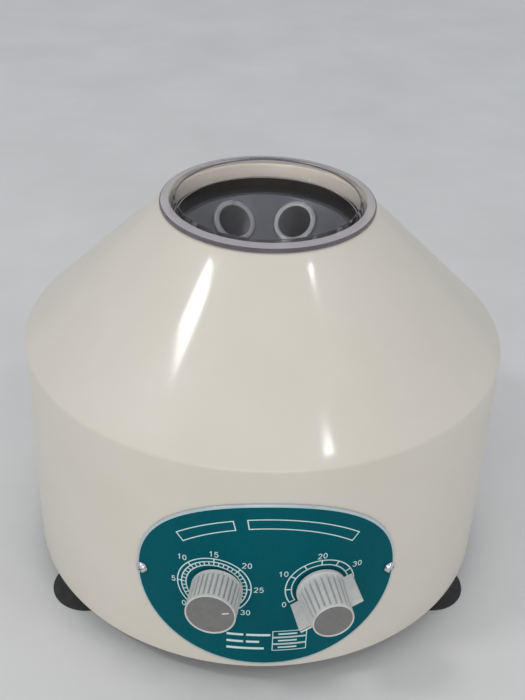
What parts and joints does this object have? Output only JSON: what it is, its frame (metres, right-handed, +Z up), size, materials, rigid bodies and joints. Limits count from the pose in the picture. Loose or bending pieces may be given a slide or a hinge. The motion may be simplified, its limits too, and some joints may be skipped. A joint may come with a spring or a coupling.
{
  "type": "laboratory centrifuge",
  "caption": "Benchtop angle-head laboratory centrifuge: round cone-topped casing on suction feet, clear lift-off lid, timer and speed knobs, spinning head with tube sleeves.",
  "frame": {"origin": "middle of the bounding box, on the table under the feet; the spin axis is 10.1 mm behind it, at y = +0.01008 m, because the knobs stand out in front", "axes": "+Z up along the spin axis, the control panel faces -Y, +X to the panel's right as the user sees it"},
  "size_m": [0.26, 0.2876, 0.2214],
  "materials": {
    "casing_paint": "glossy warm off-white enamel on sheet steel",
    "base_steel": "black satin paint on sheet steel",
    "foot_rubber": "matt black moulded rubber",
    "zinc_steel": "zinc-plated steel",
    "bowl_steel": "drawn steel, dull",
    "motor_alloy": "die-cast, as cast",
    "motor_paint": "dark grey paint",
    "laminations": "stacked electrical steel",
    "bearing_steel": "ground bearing steel",
    "carbon": "pressed carbon",
    "black_plastic": "black moulded phenolic",
    "copper": "turned copper",
    "head_alloy": "blue-grey anodised, satin",
    "sleeve_plastic": "translucent grey moulding",
    "chrome_fasteners": "bright plated",
    "clear_lid": "clear acrylic with a faint violet tint",
    "panel_print": "printed deep teal with pale scales and a bare silver edge",
    "knob_plastic": "mid-grey moulded plastic",
    "circuit_board": "green solder mask",
    "lead_sheath": "grey-black insulated wire"
  },
  "bodies": {
    "housing": {"casing": "casing_paint", "base_plate": "base_steel", "foot_front_left": "foot_rubber", "foot_front_right": "foot_rubber", "foot_rear": "foot_rubber", "foot_screw_front_left": "zinc_steel", "foot_screw_front_right": "zinc_steel", "foot_screw_rear": "zinc_steel", "guard_bowl": "bowl_steel", "motor_boot": "foot_rubber", "motor_bracket": "base_steel", "motor_damper_1": "foot_rubber", "motor_damper_2": "foot_rubber", "motor_damper_3": "foot_rubber", "damper_bolt_1": "zinc_steel", "damper_bolt_2": "zinc_steel", "damper_bolt_3": "zinc_steel", "motor_lower_cap": "motor_alloy", "motor_housing": "motor_paint", "motor_upper_cap": "motor_alloy", "field_stator": "laminations", "lower_bearing": "bearing_steel", "upper_bearing": "bearing_steel", "brush_left": "carbon", "brush_right": "carbon", "brush_cap_left": "black_plastic", "brush_cap_right": "black_plastic", "panel_plate": "panel_print", "plate_screw_left": "chrome_fasteners", "plate_screw_right": "chrome_fasteners", "timer_mechanism": "zinc_steel", "timer_nut": "chrome_fasteners", "speed_potentiometer": "zinc_steel", "speed_nut": "chrome_fasteners", "control_board": "circuit_board", "heat_sink": "motor_alloy", "board_bracket": "base_steel", "power_inlet": "black_plastic", "fuse_holder": "black_plastic", "supply_lead": "lead_sheath", "control_lead": "lead_sheath", "motor_lead": "lead_sheath"},
    "lid": {"lid": "clear_lid"},
    "rotor": {"motor_shaft": "zinc_steel", "armature_core": "laminations", "commutator": "copper", "motor_fan": "black_plastic", "angle_head": "head_alloy", "rotor_nut": "chrome_fasteners", "tube_sleeve_1": "sleeve_plastic", "tube_sleeve_2": "sleeve_plastic", "tube_sleeve_3": "sleeve_plastic", "tube_sleeve_4": "sleeve_plastic", "tube_sleeve_5": "sleeve_plastic", "tube_sleeve_6": "sleeve_plastic"},
    "timer_control": {"timer_knob": "knob_plastic", "timer_shaft": "zinc_steel"},
    "speed_control": {"speed_knob": "knob_plastic", "speed_shaft": "zinc_steel"},
    "fuse_cap": {"fuse_cap": "black_plastic"}
  },
  "joints": [
    {"name": "lid_lift", "type": "slide", "parent": "housing", "child": "lid", "axis": [0, 0, 1], "range_m": [0, 0.06]},
    {"name": "rotor_spin", "type": "hinge", "parent": "housing", "child": "rotor", "pos_m": [0, 0.01008, 0.15], "axis": [0, 0, 1], "continuous": true},
    {"name": "timer_turn", "type": "hinge", "parent": "housing", "child": "timer_control", "pos_m": [-0.02472, -0.1206, 0.0712], "axis": [0.1858, 0.9826, 0], "range_deg": [-210, 60]},
    {"name": "speed_turn", "type": "hinge", "parent": "housing", "child": "speed_control", "pos_m": [0.02662, -0.12023, 0.0712], "axis": [-0.2002, 0.9798, 0], "range_deg": [-3, 237]},
    {"name": "fuse_cap_turn", "type": "hinge", "parent": "housing", "child": "fuse_cap", "pos_m": [0.03889, 0.13727, 0.046], "axis": [0.2924, 0.9563, 0], "range_deg": [0, 45]}
  ]
}
